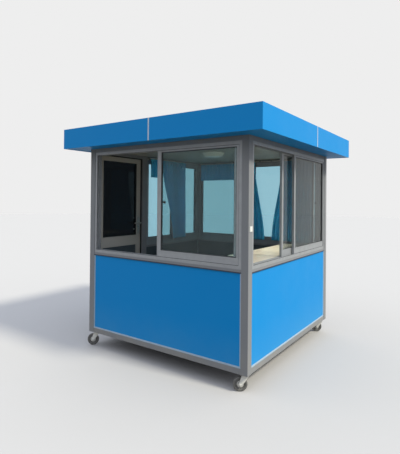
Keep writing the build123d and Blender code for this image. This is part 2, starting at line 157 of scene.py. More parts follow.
# %% Grey coated steel
dust_top = 0.55
dust_full = 0.12
cloud_size = 180 * mm
streak_width = 12 * mm
streak_length = 400 * mm
# Orange peel is 1 to 2 mm across. It is drawn 4 mm wide, so that it still shows a little.
peel_size = 4 * mm


def coated_steel(name, colour, dusty, rough):
    """A satin coating with orange peel, dust near the ground and faint run-off streaks."""
    material, tree, shader = start_material(name, IOR=1.5, Specular_IOR_Level=0.12)
    place = add(tree, "ShaderNodeTexCoord").outputs["Object"]
    height = add(tree, "ShaderNodeSeparateXYZ", inputs={0: place}).outputs["Z"]
    cloud = add(tree, "ShaderNodeTexNoise", inputs={
        "Vector": place, "Scale": 1 / cloud_size, "Detail": 5.0, "Roughness": 0.6})
    stretch = add(tree, "ShaderNodeMapping", inputs={
        "Vector": place, "Scale": (1 / streak_width, 1 / streak_width, 1 / streak_length)})
    streak = add(tree, "ShaderNodeTexNoise", inputs={
        "Vector": stretch.outputs[0], "Scale": 1.0, "Detail": 3.0})
    low = add(tree, "ShaderNodeMapRange", {"interpolation_type": "SMOOTHSTEP"}, {
        "Value": height, "From Min": dust_top, "From Max": dust_full, "To Min": 0.0, "To Max": 0.55})
    spread = add(tree, "ShaderNodeMapRange", inputs={
        "Value": cloud.outputs["Fac"], "From Min": 0.35, "From Max": 0.7})
    dust = add(tree, "ShaderNodeMath", {"operation": "MULTIPLY"}, {0: low.outputs[0], 1: spread.outputs[0]})
    thin = add(tree, "ShaderNodeMapRange", inputs={
        "Value": streak.outputs["Fac"], "From Min": 0.52, "From Max": 0.8, "To Min": 0.0, "To Max": 0.16})
    both = add(tree, "ShaderNodeMath", {"operation": "ADD", "use_clamp": True},
               {0: dust.outputs[0], 1: thin.outputs[0]})
    mix = add(tree, "ShaderNodeMix", {"data_type": "RGBA"},
              {"Factor": both.outputs[0], "A": paint(colour), "B": paint(dusty)})
    gloss = add(tree, "ShaderNodeMapRange", inputs={
        "Value": both.outputs[0], "To Min": rough, "To Max": rough + 0.3})
    peel = add(tree, "ShaderNodeTexNoise", inputs={"Vector": place, "Scale": 1 / peel_size, "Detail": 2.0})
    bump = add(tree, "ShaderNodeBump", inputs={
        "Height": peel.outputs["Fac"], "Strength": 0.12, "Distance": 0.4 * mm})
    connect(tree, shader, Base_Color=mix.outputs["Result"], Roughness=gloss.outputs[0],
            Normal=bump.outputs[0])
    return material


post_coating = coated_steel("grey_coated_steel", "#87898d", "#9c9993", 0.45)
door_coating = coated_steel("beige_grey_coated_steel", "#b9b5ae", "#bdb7ac", 0.42)
print("made", post_coating.name, "and", door_coating.name)

# %% [markdown]
# ## Blue coil-coated sheet
#
# The panels, the fascia and the soffit are steel sheet that was painted blue in the coil, before it was cut
# and folded. It is smooth and half glossy, and a large thin sheet is never quite flat: it waves a little,
# which makers call oil canning. A noise of about half a metre, used as a bump of a few millimetres, gives
# that wave to the reflections. Dust dulls the lowest part.

# %% Blue coil-coated sheet
haze_size = 300 * mm
canning_size = 520 * mm
panel_blue, tree, shader = start_material("blue_coil_coated_sheet", IOR=1.5, Specular_IOR_Level=0.12)
place = add(tree, "ShaderNodeTexCoord").outputs["Object"]
height = add(tree, "ShaderNodeSeparateXYZ", inputs={0: place}).outputs["Z"]
haze = add(tree, "ShaderNodeTexNoise", inputs={
    "Vector": place, "Scale": 1 / haze_size, "Detail": 6.0, "Roughness": 0.62}).outputs["Fac"]
low = add(tree, "ShaderNodeMapRange", {"interpolation_type": "SMOOTHSTEP"}, {
    "Value": height, "From Min": 0.6, "From Max": 0.15, "To Min": 0.04, "To Max": 0.3})
dust = add(tree, "ShaderNodeMath", {"operation": "MULTIPLY"}, {0: low.outputs[0], 1: haze})
mix = add(tree, "ShaderNodeMix", {"data_type": "RGBA"},
          {"Factor": dust.outputs[0], "A": paint("#0a8bd5"), "B": paint("#6fa9cf")})
gloss = add(tree, "ShaderNodeMapRange", inputs={
    "Value": haze, "From Min": 0.3, "From Max": 0.7, "To Min": 0.42, "To Max": 0.56})
canning = add(tree, "ShaderNodeTexNoise", inputs={
    "Vector": place, "Scale": 1 / canning_size, "Detail": 1.0})
bump = add(tree, "ShaderNodeBump", inputs={
    "Height": canning.outputs["Fac"], "Strength": 0.5, "Distance": 3 * mm})
connect(tree, shader, Base_Color=mix.outputs["Result"], Roughness=gloss.outputs[0], Normal=bump.outputs[0])
print("made", panel_blue.name)

# %% [markdown]
# ## Anodised aluminium and plated steel
#
# The window frames and sashes are extruded aluminium with a clear anodised skin. Extruding leaves very fine
# lines along the bar, and the skin makes the metal soft and pale. The bars run along X, Y or Z, so one
# stretched pattern would only suit some of them. A fine noise suits all, as a slight bump, and a slow one
# varies the colour and the roughness, as handling does. Zinc plating and brushed stainless steel look alike
# in this, so the same function makes them in other colours.

# %% Anodised aluminium and plated steel
handling_size = 60 * mm
# The grain of the skin is 0.1 mm. It is drawn 2 mm wide, which is the least that shows close by.
grain_size = 2 * mm


def soft_metal(name, colour, worn, rough, metal=0.75):
    """Soft pale metal with fine grain and handling marks."""
    material, tree, shader = start_material(name, Metallic=metal, Specular_IOR_Level=0.3)
    place = add(tree, "ShaderNodeTexCoord").outputs["Object"]
    marks = add(tree, "ShaderNodeTexNoise", inputs={
        "Vector": place, "Scale": 1 / handling_size, "Detail": 6.0, "Roughness": 0.65}).outputs["Fac"]
    grain = add(tree, "ShaderNodeTexNoise", inputs={
        "Vector": place, "Scale": 1 / grain_size, "Detail": 2.0})
    share = add(tree, "ShaderNodeMapRange", inputs={"Value": marks, "From Min": 0.35, "From Max": 0.75})
    mix = add(tree, "ShaderNodeMix", {"data_type": "RGBA"},
              {"Factor": share.outputs[0], "A": paint(colour), "B": paint(worn)})
    gloss = add(tree, "ShaderNodeMapRange", inputs={
        "Value": marks, "From Min": 0.3, "From Max": 0.7, "To Min": rough - 0.06, "To Max": rough + 0.08})
    bump = add(tree, "ShaderNodeBump", inputs={
        "Height": grain.outputs["Fac"], "Strength": 0.1, "Distance": 0.2 * mm})
    connect(tree, shader, Base_Color=mix.outputs["Result"], Roughness=gloss.outputs[0],
            Normal=bump.outputs[0])
    return material


window_metal = soft_metal("anodised_aluminium", "#9da0a4", "#94979b", 0.44, 0.25)
bead_metal = soft_metal("pale_anodised_aluminium", "#a6a9ad", "#9b9ea2", 0.4, 0.25)
plated_steel = soft_metal("zinc_plated_steel", "#dededa", "#c4c3bd", 0.36, 0.2)
stainless = soft_metal("brushed_stainless_steel", "#bdbab4", "#a8a49d", 0.3)
print("made", window_metal.name, bead_metal.name, plated_steel.name, stainless.name)

# %% [markdown]
# ## Float glass
#
# The panes are 5 mm float glass. Glass has no colour at its face: light is coloured on its way through. A
# shader with full transmission and a tinted base colour does the same for a thin pane. The front pane is
# nearly clear, the right one is greyer with dust, the back and left ones are tinted blue, and the door's is
# dark. Real glass has an IOR of 1.52. A lower one is used here, because the plain white surroundings would
# otherwise shine over the room. Dust lies on outdoor glass in faint patches, which one noise gives to both
# the tint and the roughness.

# %% Float glass
film_size = 90 * mm


def float_glass(name, colours, ior, transmission):
    """A clear pane with a tint and a slight film of dust. The two colours are close to each other."""
    material, tree, shader = start_material(name, Transmission_Weight=transmission, IOR=ior)
    place = add(tree, "ShaderNodeTexCoord").outputs["Object"]
    film = add(tree, "ShaderNodeTexNoise", inputs={
        "Vector": place, "Scale": 1 / film_size, "Detail": 5.0}).outputs["Fac"]
    gloss = add(tree, "ShaderNodeMapRange", inputs={
        "Value": film, "From Min": 0.45, "From Max": 0.8, "To Min": 0.0, "To Max": 0.05})
    tint = add(tree, "ShaderNodeMix", {"data_type": "RGBA"},
               {"Factor": film, "A": paint(colours[0]), "B": paint(colours[1])})
    connect(tree, shader, Base_Color=tint.outputs["Result"], Roughness=gloss.outputs[0])
    return material


clear_glass = float_glass("clear_float_glass", ("#dae7e7", "#dee9e9"), 1.2, 0.995)
dusty_glass = float_glass("dusty_float_glass", ("#a1abac", "#a9b2b3"), 1.2, 0.985)
blue_glass = float_glass("blue_tinted_float_glass", ("#99cbdb", "#9ecedd"), 1.25, 0.99)
dark_glass = float_glass("dark_tinted_glass", ("#0d1013", "#13171a"), 1.2, 0.97)
print("made", clear_glass.name, dusty_glass.name, blue_glass.name, dark_glass.name)

# %% [markdown]
# ## The quieter finishes
#
# Inside, the lower walls are lined with a grey-blue sheet, the ceiling is a pale coated board, the counter
# is a cream laminate and the floor is a vinyl sheet. Outside there are plastics, rubbers, a dark sealant
# that also carries painted shadow, and coated trim. Each has its own colour and gloss and the same kind of
# slow variation, so one function serves them all. The grain is stretched for vinyl and laminate, because
# both are printed with the look of wood fibres. Moulded plastic and rubber have fine patches, and coated
# board has wide ones.

# %% Lining, ceiling, laminate, vinyl, plastics and rubber
def plain_finish(name, light, dark, rough, patch, stretch=(1, 1, 1), bump_depth=0.15, **sockets):
    """Two close colours, mixed by a noise whose patches are patch millimetres across."""
    material, tree, shader = start_material(name, **sockets)
    place = add(tree, "ShaderNodeTexCoord").outputs["Object"]
    grain = add(tree, "ShaderNodeMapping", inputs={
        "Vector": place, "Scale": tuple(s / (patch * mm) for s in stretch)})
    noise = add(tree, "ShaderNodeTexNoise", inputs={
        "Vector": grain.outputs[0], "Scale": 1.0, "Detail": 6.0, "Roughness": 0.6}).outputs["Fac"]
    share = add(tree, "ShaderNodeMapRange", inputs={"Value": noise, "From Min": 0.3, "From Max": 0.7})
    mix = add(tree, "ShaderNodeMix", {"data_type": "RGBA"},
              {"Factor": share.outputs[0], "A": paint(light), "B": paint(dark)})
    gloss = add(tree, "ShaderNodeMapRange", inputs={
        "Value": noise, "From Min": 0.3, "From Max": 0.7, "To Min": rough - 0.05, "To Max": rough + 0.07})
    bump = add(tree, "ShaderNodeBump", inputs={
        "Height": noise, "Strength": 0.25, "Distance": bump_depth * mm})
    connect(tree, shader, Base_Color=mix.outputs["Result"], Roughness=gloss.outputs[0],
            Normal=bump.outputs[0])
    return material


lining_sheet = plain_finish("grey_blue_coated_lining", "#4d585f", "#434d54", 0.45, 120)
ceiling_board = plain_finish("cream_coated_ceiling_board", "#aca89d", "#a09c91", 0.55, 200)
counter_laminate = plain_finish("cream_laminate", "#d3c6b4", "#c8baa4", 0.32, 14, (1, 0.06, 1))
floor_vinyl = plain_finish("grey_vinyl_floor", "#77706a", "#625b55", 0.4, 18, (1, 0.08, 1))
lamp_opal = plain_finish("opal_acrylic", "#efeee6", "#e6e5dc", 0.25, 80, IOR=1.49)
white_plastic = plain_finish("white_moulded_plastic", "#e9e9e6", "#dfdfdb", 0.35, 20, IOR=1.5)
black_plastic = plain_finish("black_moulded_nylon", "#1f2022", "#2a2b2d", 0.45, 6, IOR=1.53)
seal_rubber = plain_finish("black_seal_rubber", "#161718", "#212223", 0.6, 8, IOR=1.5)
grey_rubber = plain_finish("grey_glazing_seal_rubber", "#46484b", "#3b3d40", 0.6, 8, IOR=1.5)
tyre_rubber = plain_finish("grey_black_tyre_rubber", "#5c5c5c", "#72716e", 0.7, 9, bump_depth=0.4, IOR=1.5)
# The sealant's dark navy is partly the sealant and partly painted shadow under the sill rails.
sealant_and_painted_shade = plain_finish("blue_black_sealant_and_painted_shade", "#16283c", "#1f3145", 0.5, 10)
pale_trim = plain_finish("pale_coated_trim", "#ccd6df", "#c0cbd5", 0.4, 60)
bead_trim = plain_finish("blue_grey_coated_bead", "#a2b5c4", "#98abba", 0.4, 60)
print("plain finishes ready")

# %% [markdown]
# ## Galvanised roof sheet
#
# Nobody sees the roof's top from the ground, and its sheet is left bare galvanised steel. Zinc freezes on
# steel in flat crystals, called spangle, some 12 mm across. A Voronoi texture gives each crystal its own
# shade and roughness.

# %% Galvanised steel
spangle_size = 12 * mm
galvanised, tree, shader = start_material("galvanised_steel", Metallic=0.45, Specular_IOR_Level=0.3)
place = add(tree, "ShaderNodeTexCoord").outputs["Object"]
spangle = add(tree, "ShaderNodeTexVoronoi", inputs={"Vector": place, "Scale": 1 / spangle_size})
shade = add(tree, "ShaderNodeSeparateColor", inputs={0: spangle.outputs["Color"]}).outputs[0]
tone = add(tree, "ShaderNodeMix", {"data_type": "RGBA"},
           {"Factor": shade, "A": paint("#868b8f"), "B": paint("#9a9fa2")})
gloss = add(tree, "ShaderNodeMapRange", inputs={"Value": shade, "To Min": 0.35, "To Max": 0.55})
connect(tree, shader, Base_Color=tone.outputs["Result"], Roughness=gloss.outputs[0])
print("made", galvanised.name)

# %% [markdown]
# ## Dressing the CAD nodes
#
# Every CAD part keeps its shape and gets its finish here. Each line of the list names a finish and then the
# parts that a maker would order in it. A part that is missing from the list would stop the script. The
# curtains are left out of it, because cloth pieces stand for them further on. The window panes cast no
# shadow, so that the sun lights the room through them.

# %% Give each CAD node its finish
walls = ("front", "right", "back", "left")
corners = {"front_left": (-1, -1), "front_right": (1, -1), "back_left": (-1, 1), "back_right": (1, 1)}
finishes = {
    post_coating: ["corner_posts", "base_rails", "head_rails", "door_post", "sill_rails", "floor_joists"],
    door_coating: ["door_leaf"],
    pale_trim: ["fascia_joint_strips"],
    bead_trim: ["panel_beads"],
    panel_blue: ["wall_panels", "roof_fascia", "roof_soffit"],
    window_metal: [f"window_{wall}_{part}" for wall in walls for part in ("frame", "sashes")],
    clear_glass: ["window_front_glass"],
    dusty_glass: ["window_right_glass"],
    blue_glass: ["window_back_glass", "window_left_glass"],
    dark_glass: ["door_glass"],
    lining_sheet: ["inner_lining", "door_sheet"],
    ceiling_board: ["ceiling"],
    lamp_opal: ["ceiling_lamp"],
    counter_laminate: ["counter_top"],
    floor_vinyl: ["floor_deck"],
    galvanised: ["roof_sheet", "roof_purlins", "roof_studs"],
    plated_steel: ["counter_brackets", "caster_plates"] + [f"caster_fork_{c}" for c in corners],
    stainless: ["curtain_rods", "door_hinge_fixed_leaves", "door_hinge_moving_leaves", "door_lock"],
    tyre_rubber: [f"caster_wheel_{c}" for c in corners],
    black_plastic: ["window_latches"],
    white_plastic: ["post_plate"],
}
dressed = set()
for finish, nodes in finishes.items():
    for name in nodes:
        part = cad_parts[name]
        if not part.material_slots:
            part.data.materials.append(finish)
        for slot in part.material_slots:
            slot.material = finish
        dressed.add(name)
for wall in walls:
    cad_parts[f"window_{wall}_glass"].visible_shadow = False
left_over = set(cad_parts) - dressed - {"curtain_valances", "curtain_drapes"}
assert not left_over, left_over
print(len(dressed), "CAD nodes dressed")

# %% [markdown]
# ## Small tools for pieces
#
# New pieces are shaped in bmesh, Blender's mesh editor without the window. A piece is often easiest to
# shape flat, as it would lie on the front wall, and then to turn onto its wall. So there is a matrix for
# each wall: local X runs along the wall, local Y goes inwards from its outer face, and Z is up. The second
# tool turns a finished bmesh into an object with its finish and its body. The others round
# some edges and add a bar.

# %% Piece tools
half_width = 1.0
half_depth = 1.04
wall_turn = {
    "front": (0, half_depth),
    "right": (90, half_width),
    "back": (180, half_depth),
    "left": (270, half_width),
}


def wall_matrix(wall):
    """Takes a shape from the front wall's own axes onto one wall."""
    turn, out = wall_turn[wall]
    return Matrix.Rotation(math.radians(turn), 4, "Z") @ Matrix.Translation((0, -out, 0))


def finish_piece(name, bm, material, body, smooth=30):
    """Makes an object of a bmesh, smooth up to an angle in degrees, and lets it ride on a body."""
    bmesh.ops.recalc_face_normals(bm, faces=bm.faces)
    mesh = bpy.data.meshes.new(name)
    bm.to_mesh(mesh)
    bm.free()
    mesh.materials.append(material)
    for face in mesh.polygons:
        face.use_smooth = True
    mesh.set_sharp_from_angle(angle=math.radians(smooth))
    piece = bpy.data.objects.new(name, mesh)
    bpy.context.scene.collection.objects.link(piece)
    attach(piece, body)
    return piece


def round_edges(bm, edges, width):
    """Bevels some edges into a small round."""
    bmesh.ops.bevel(bm, geom=list(edges), offset=width, offset_type="OFFSET", segments=2, profile=0.5,
                    affect="EDGES", material=-1)


def bar(bm, low, high, bevel=0.0):
    """Adds one bar between two corners, with its edges bevelled."""
    size = [b - a for a, b in zip(low, high)]
    middle = [(a + b) / 2 for a, b in zip(low, high)]
    placed = Matrix.Translation(middle) @ Matrix.Diagonal((*size, 1))
    made = bmesh.ops.create_cube(bm, size=1, matrix=placed)
    if bevel:
        round_edges(bm, {edge for vert in made["verts"] for edge in vert.link_edges}, bevel)
    return made


print("piece tools ready")

# %% [markdown]
# ## Places and rings on a wall
#
# Seals, beads and mouldings are flat rings round an opening. A ring could be four bars with mitred ends. An
# inset is simpler, because it keeps the corners closed by itself: a rectangle is inset by the ring's width,
# the middle face is deleted, and the ring that is left is extruded. Where a ring goes is read from the CAD.
# The corners of a node's mesh are turned into the wall's own axes, and their box gives the edges.

# %% Places and rings on a wall
sharp_from = math.radians(60)


def local_spots(wall, node):
    """The corners of a node's mesh in one wall's own axes."""
    to_wall = wall_matrix(wall).inverted()
    return [to_wall @ vert.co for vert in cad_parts[node].data.vertices]


def local_box(wall, node):
    """The box of a node in one wall's own axes, as two corners."""
    spots = local_spots(wall, node)
    return [Vector(pick(spot[i] for spot in spots) for i in range(3)) for pick in (min, max)]


def flat_ring(bm, x0, x1, z0, z1, width, y0):
    """Four faces that make a flat ring in a wall's plane."""
    middle_spot = ((x0 + x1) / 2, y0, (z0 + z1) / 2)
    flat = Matrix.Translation(middle_spot) @ Matrix.Rotation(math.pi / 2, 4, "X")
    size = Matrix.Diagonal((x1 - x0, z1 - z0, 1, 1))
    grid = bmesh.ops.create_grid(bm, x_segments=1, y_segments=1, size=0.5, matrix=flat @ size)
    middle = grid["verts"][0].link_faces[0]
    band = bmesh.ops.inset_region(bm, faces=[middle], thickness=width, use_boundary=True,
                                  use_even_offset=True)["faces"]
    bmesh.ops.delete(bm, geom=[middle], context="FACES")
    return band


def rim(bm, x0, x1, z0, z1, width, y0, y1, place, round_edge=0.0):
    """A ring in a wall's plane: its outer size, its width, and its depth from y0 to y1."""
    band = flat_ring(bm, x0, x1, z0, z1, width, y0)
    raised = bmesh.ops.extrude_face_region(bm, geom=band)["geom"]
    top = [item for item in raised if isinstance(item, bmesh.types.BMFace)]
    verts = {vert for face in band + top for vert in face.verts}
    bmesh.ops.translate(bm, vec=(0, y1 - y0, 0), verts=list({vert for face in top for vert in face.verts}))
    bmesh.ops.transform(bm, matrix=place, verts=list(verts))
    if round_edge:
        outline = {edge for face in top for edge in face.edges if edge.calc_face_angle(0) > sharp_from}
        round_edges(bm, outline, round_edge)


print("ring tools ready")

# %% [markdown]
# ## Glazing of the windows
#
# A pane sits in a groove in its sash. A grey rubber seal closes the groove on both faces, and a narrow
# aluminium bead is snapped over it. A dark pile seal, as soft as a brush, fills the gap between the sashes
# and the frame. They show as fine dark and pale lines round the glass. All of them are rings, so one loop
# over the walls makes them from the panes that the CAD has.

# %% Glazing of the windows
glass_grip = 8 * mm
seal_width = 5 * mm
seal_below_face = 1 * mm
bead_width = 7 * mm
bead_height = 2 * mm
sash_thickness = 24 * mm
frame_face = 20 * mm
lip_height = 10 * mm
lip_thickness = 2 * mm
pile_width = 6 * mm
pile_past_lip = 3 * mm


def panes(wall):
    """The openings that one window's panes show through, the outer one first, in the wall's own axes."""
    spots = local_spots(wall, f"window_{wall}_glass")
    depths = [spot.y for spot in spots]
    between = (min(depths) + max(depths)) / 2
    found = []
    for outer in (True, False):
        pane = [spot for spot in spots if (spot.y < between) == outer]
        found.append([
            min(spot.x for spot in pane) + glass_grip, max(spot.x for spot in pane) - glass_grip,
            min(spot.z for spot in pane) + glass_grip, max(spot.z for spot in pane) - glass_grip,
            min(spot.y for spot in pane), max(spot.y for spot in pane),
        ])
    return found


def glaze(seals, beads, x0, x1, z0, z1, y_glass, y_face, place):
    """The seal and the bead round one opening, on one face of its sash."""
    out = math.copysign(1, y_face - y_glass)
    rim(seals, x0, x1, z0, z1, seal_width, y_glass, y_face - out * seal_below_face, place)
    rim(beads, x0 - bead_width, x1 + bead_width, z0 - bead_width, z1 + bead_width, bead_width, y_face,
        y_face + out * bead_height, place, bead_height / 2)


for wall in walls:
    place = wall_matrix(wall)
    seals = bmesh.new()
    beads = bmesh.new()
    for x0, x1, z0, z1, y0, y1 in panes(wall):
        middle = (y0 + y1) / 2
        glaze(seals, beads, x0, x1, z0, z1, y0, middle - sash_thickness / 2, place)
        glaze(seals, beads, x0, x1, z0, z1, y1, middle + sash_thickness / 2, place)
    finish_piece(f"glazing_seals_{wall}", seals, grey_rubber, "booth")
    finish_piece(f"glazing_beads_{wall}", beads, bead_metal, "booth")
    low, high = local_box(wall, f"window_{wall}_frame")
    past = frame_face + lip_height + pile_past_lip - pile_width
    bm = bmesh.new()
    rim(bm, low.x + past, high.x - past, low.z + past, high.z - past, pile_width, low.y + lip_thickness,
        low.y + 2 * lip_thickness, place)
    finish_piece(f"pile_seal_{wall}", bm, seal_rubber, "booth")
print("glazing of", len(walls), "windows")

# %% [markdown]
# ## Glazing of the door
#
# The door's dark pane is held in the same way, with a black seal and with beads in the coating of the leaf.
# The two faces of the leaf are as far apart as the CAD says, so the pane's and the leaf's boxes are enough.
# These pieces ride on the door, and swing with it.

# %% Glazing of the door
door_low, door_high = local_box("left", "door_glass")
leaf_low, leaf_high = local_box("left", "door_leaf")
seals = bmesh.new()
beads = bmesh.new()
for y_glass, y_face in ((door_low.y, leaf_low.y), (door_high.y, leaf_high.y)):
    glaze(seals, beads, door_low.x + glass_grip, door_high.x - glass_grip, door_low.z + glass_grip,
          door_high.z - glass_grip, y_glass, y_face, wall_matrix("left"))
finish_piece("glazing_seals_door", seals, seal_rubber, "door")
finish_piece("glazing_beads_door", beads, door_coating, "door")
print("glazing of the door")

# %% [markdown]
# ## Levers of the window latches
#
# Each inner sash has a black latch on its stile. A short lever with a wider grip works it, and reaches over
# the pane, where it shows as a dark spot through the front window. Two thin bars that are bevelled together
# are enough at this size. The latches are found by their depth behind each wall's outer face.

# %% Levers of the window latches
latch_nearest = 50 * mm
latch_furthest = 90 * mm
lever_root = 8 * mm
lever_reach = 34 * mm
lever_half = 7 * mm
lever_thickness = 3 * mm
lever_sunk = 5 * mm
grip_half = 12 * mm
grip_length = 24 * mm
grip_thickness = 5 * mm
lever_round = 1 * mm
bm = bmesh.new()
for wall in walls:
    near = [spot for spot in local_spots(wall, "window_latches")
            if latch_nearest < spot.y < latch_furthest]
    tip = max(spot.x for spot in near)
    lever_y = max(spot.y for spot in near) - lever_sunk
    level_z = (min(spot.z for spot in near) + max(spot.z for spot in near)) / 2
    end = tip + lever_reach
    parts = []
    for start, half, depth in ((tip - lever_root, lever_half, lever_thickness),
                               (end - grip_length, grip_half, grip_thickness)):
        made = bar(bm, (start, lever_y, level_z - half), (end, lever_y + depth, level_z + half))
        parts.extend(made["verts"])
    edges = {edge for vert in parts for edge in vert.link_edges}
    bmesh.ops.transform(bm, matrix=wall_matrix(wall), verts=parts)
    round_edges(bm, edges, lever_round)
finish_piece("latch_levers", bm, black_plastic, "booth")
print("latch levers made")

# %% [markdown]
# ## Sealant and painted shadow under the windows
#
# A line of dark sealant closes the joint between each sill rail and the top of its panel. It shows in the
# photograph as a thin dark line over the blue, on both walls. That line is partly the sealant and partly
# painted shadow: its dark navy stands for the shade that the sill rail casts on the top of the panel. A slim
# bar makes it, because only its front face is ever seen.

# %% Sealant and painted shadow under the windows
sill_rail = 24 * mm
rail_recess = 4 * mm
sealant_and_shadow_height = 9 * mm
sealant_and_shadow_depth = 2 * mm
bm = bmesh.new()
for wall in walls:
    low, high = local_box(wall, f"window_{wall}_frame")
    top = low.z - sill_rail
    # The bar is dark sealant and painted shadow under the sill rail.
    line = bar(bm, (low.x, rail_recess - sealant_and_shadow_depth, top - sealant_and_shadow_height), (high.x, rail_recess, top))
    bmesh.ops.transform(bm, matrix=wall_matrix(wall), verts=line["verts"])
finish_piece("panel_sealant_and_painted_shadow", bm, sealant_and_painted_shade, "booth")
print("sealant lines made")

# %% [markdown]
# ## Mouldings round the panels
#
# The other three edges of each panel are held by a pale moulding that slopes down to the panel. Its slope
# catches the sky's light at the foot of the panel and the sun at its left end, which are the pale lines
# round the blue in the photograph. A ring is cut as before and its top side is deleted. It is extruded, and
# its outer edge is raised to the full height, while its inner edge stays nearly flat.

# %% Mouldings round the panels
panel_recess = 10 * mm
moulding_width = 14 * mm
moulding_height = 5.7 * mm
inner_height = 0.5 * mm
at_edge = 1 * mm
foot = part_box("wall_panels")[0].z
bm = bmesh.new()
for wall in walls:
    low, high = local_box(wall, f"window_{wall}_frame")
    head_z = low.z - sill_rail - sealant_and_shadow_height + moulding_width
    band = flat_ring(bm, low.x, high.x, foot, head_z, moulding_width, panel_recess)
    top_side = max(band, key=lambda face: face.calc_center_median().z)
    band.remove(top_side)
    bmesh.ops.delete(bm, geom=[top_side], context="FACES")
    raised = bmesh.ops.extrude_face_region(bm, geom=band)["geom"]
    slope = [item for item in raised if isinstance(item, bmesh.types.BMVert)]
    outer = [vert for vert in slope
             if min(vert.co.x - low.x, high.x - vert.co.x, vert.co.z - foot) < at_edge]
    inner = [vert for vert in slope if vert not in outer]
    bmesh.ops.translate(bm, vec=(0, -moulding_height, 0), verts=outer)
    bmesh.ops.translate(bm, vec=(0, -inner_height, 0), verts=inner)
    verts = {vert for face in band for vert in face.verts} | set(slope)
    bmesh.ops.transform(bm, matrix=wall_matrix(wall), verts=list(verts))
finish_piece("panel_mouldings", bm, bead_trim, "booth")
print("mouldings made")

# %% [markdown]
# ## The door's stop
#
# The gap round the door is closed on the room side by a rubber stop on the door posts and the head rail.
# Without it, daylight would show round the leaf. Three bevelled bars make it, one on each side and one over
# the top. It stands clear of the leaf, so that the door can move.

# %% The door's stop
stop_gap = 5 * mm
stop_depth = 12 * mm
stop_width = 14 * mm
stop_round = 2 * mm
jamb_gap = 7 * mm
head_gap = 8 * mm
stop_near = leaf_high.y + stop_gap
stop_far = stop_near + stop_depth
stop_left = leaf_low.x - jamb_gap
stop_right = leaf_high.x + jamb_gap
stop_low = leaf_low.z - head_gap
stop_head = leaf_high.z + head_gap
bm = bmesh.new()
for left, right, low in (
    (stop_left, stop_left + stop_width, stop_low),
    (stop_right - stop_width, stop_right, stop_low),
    (stop_left + stop_width, stop_right - stop_width, stop_head - stop_width),
):
    bar(bm, (left, stop_near, low), (right, stop_far, stop_head), stop_round)
bmesh.ops.transform(bm, matrix=wall_matrix("left"), verts=bm.verts)
finish_piece("door_stop", bm, seal_rubber, "booth")
print("door stop made")

# %% [markdown]
# ## Curtain cloth
#
# The curtains are a light blue polyester weave. Close by, a woven cloth is a grid of threads, and its
# fibres catch light at grazing angles, which a sheen gives. Daylight glows through it from behind, which a
# high subsurface share gives. The threads are about 0.3 mm apart. They are drawn 3 mm apart here, so that
# the weave shows at all. The cloth has its own UV map in metres, so the weave follows every fold. A wave
# texture of scale 1 has about 3.2 bands in a metre.

# %% Curtain cloth
thread = 3 * mm
bands_per_unit = 3.2
fade_size = 120 * mm
curtain_cloth, tree, shader = start_material(
    "light_blue_polyester_weave", Roughness=0.85, Sheen_Weight=0.15, Sheen_Roughness=0.4,
    Subsurface_Weight=0.9, Subsurface_Scale=3 * mm, Subsurface_Radius=(1, 1, 1))
flat_place = add(tree, "ShaderNodeUVMap", {"uv_map": "cloth"}).outputs[0]
threads = {"Vector": flat_place, "Scale": 1 / thread / bands_per_unit}
warp = add(tree, "ShaderNodeTexWave", {"bands_direction": "X"}, threads)
weft = add(tree, "ShaderNodeTexWave", {"bands_direction": "Y"}, threads)
weave = add(tree, "ShaderNodeMath", {"operation": "MULTIPLY"},
            {0: warp.outputs["Fac"], 1: weft.outputs["Fac"]})
fade = add(tree, "ShaderNodeTexNoise", inputs={"Vector": flat_place, "Scale": 1 / fade_size, "Detail": 4.0})
# The shade is 0.45 of the weave and half of the slow noise, on a base of 0.15.
woven = add(tree, "ShaderNodeMath", {"operation": "MULTIPLY_ADD"}, {0: weave.outputs[0], 1: 0.45, 2: 0.15})
shade = add(tree, "ShaderNodeMath", {"operation": "MULTIPLY_ADD"},
            {0: fade.outputs["Fac"], 1: 0.5, 2: woven.outputs[0]})
tone = add(tree, "ShaderNodeMix", {"data_type": "RGBA"},
           {"Factor": shade.outputs[0], "A": paint("#0a7fa8"), "B": paint("#58c4e6")})
bump = add(tree, "ShaderNodeBump", inputs={
    "Height": weave.outputs[0], "Strength": 0.3, "Distance": 0.5 * mm})
connect(tree, shader, Base_Color=tone.outputs["Result"], Normal=bump.outputs[0])
print("made", curtain_cloth.name)

# %% [markdown]
# ## The depth of a fold
#
# A gathered curtain keeps its cut width on every level. Where it is pushed together, its folds get deeper
# instead. So each row of the cloth is a wave, and its depth follows from two lengths: how wide the row
# hangs and how wide the cloth was cut. There is no short formula for the length of a wave, so the depth is
# found by halving a range until the wave is as long as the cloth is wide.

# %% The depth of a fold
deepest_fold = 80 * mm
halvings = 30
wave_steps = 48


def fold_depth(hung, cut, folds):
    """How deep a wave has to be for a cloth of the cut width to hang in the hung width."""
    step = hung / folds / wave_steps
    turns = [math.sin(2 * math.pi * i / wave_steps) for i in range(wave_steps + 1)]
    low = 0.0
    high = deepest_fold
    for _ in range(halvings):
        depth = (low + high) / 2
        length = sum(math.hypot(step, depth * (b - a)) for a, b in zip(turns[:-1], turns[1:]))
        if length * folds < cut:
            low = depth
        else:
            high = depth
    return depth


print("0.7 m of cloth hung 0.5 m wide in 7 folds: folds of", round(fold_depth(0.5, 0.7, 7), 4), "m")

# %% [markdown]
# ## Hanging a cloth
#
# The cloth could be simulated, but gathered folds are hard to steer, and these have to stay in the room
# that the CAD gives them. So they are shaped row by row. The grid comes from one operator, and moving its
# points is all the sculpting that it needs. Real folds are a little uneven and wander on their way down,
# which slow waves over the cloth give. The cloth is thickened last, by a modifier.

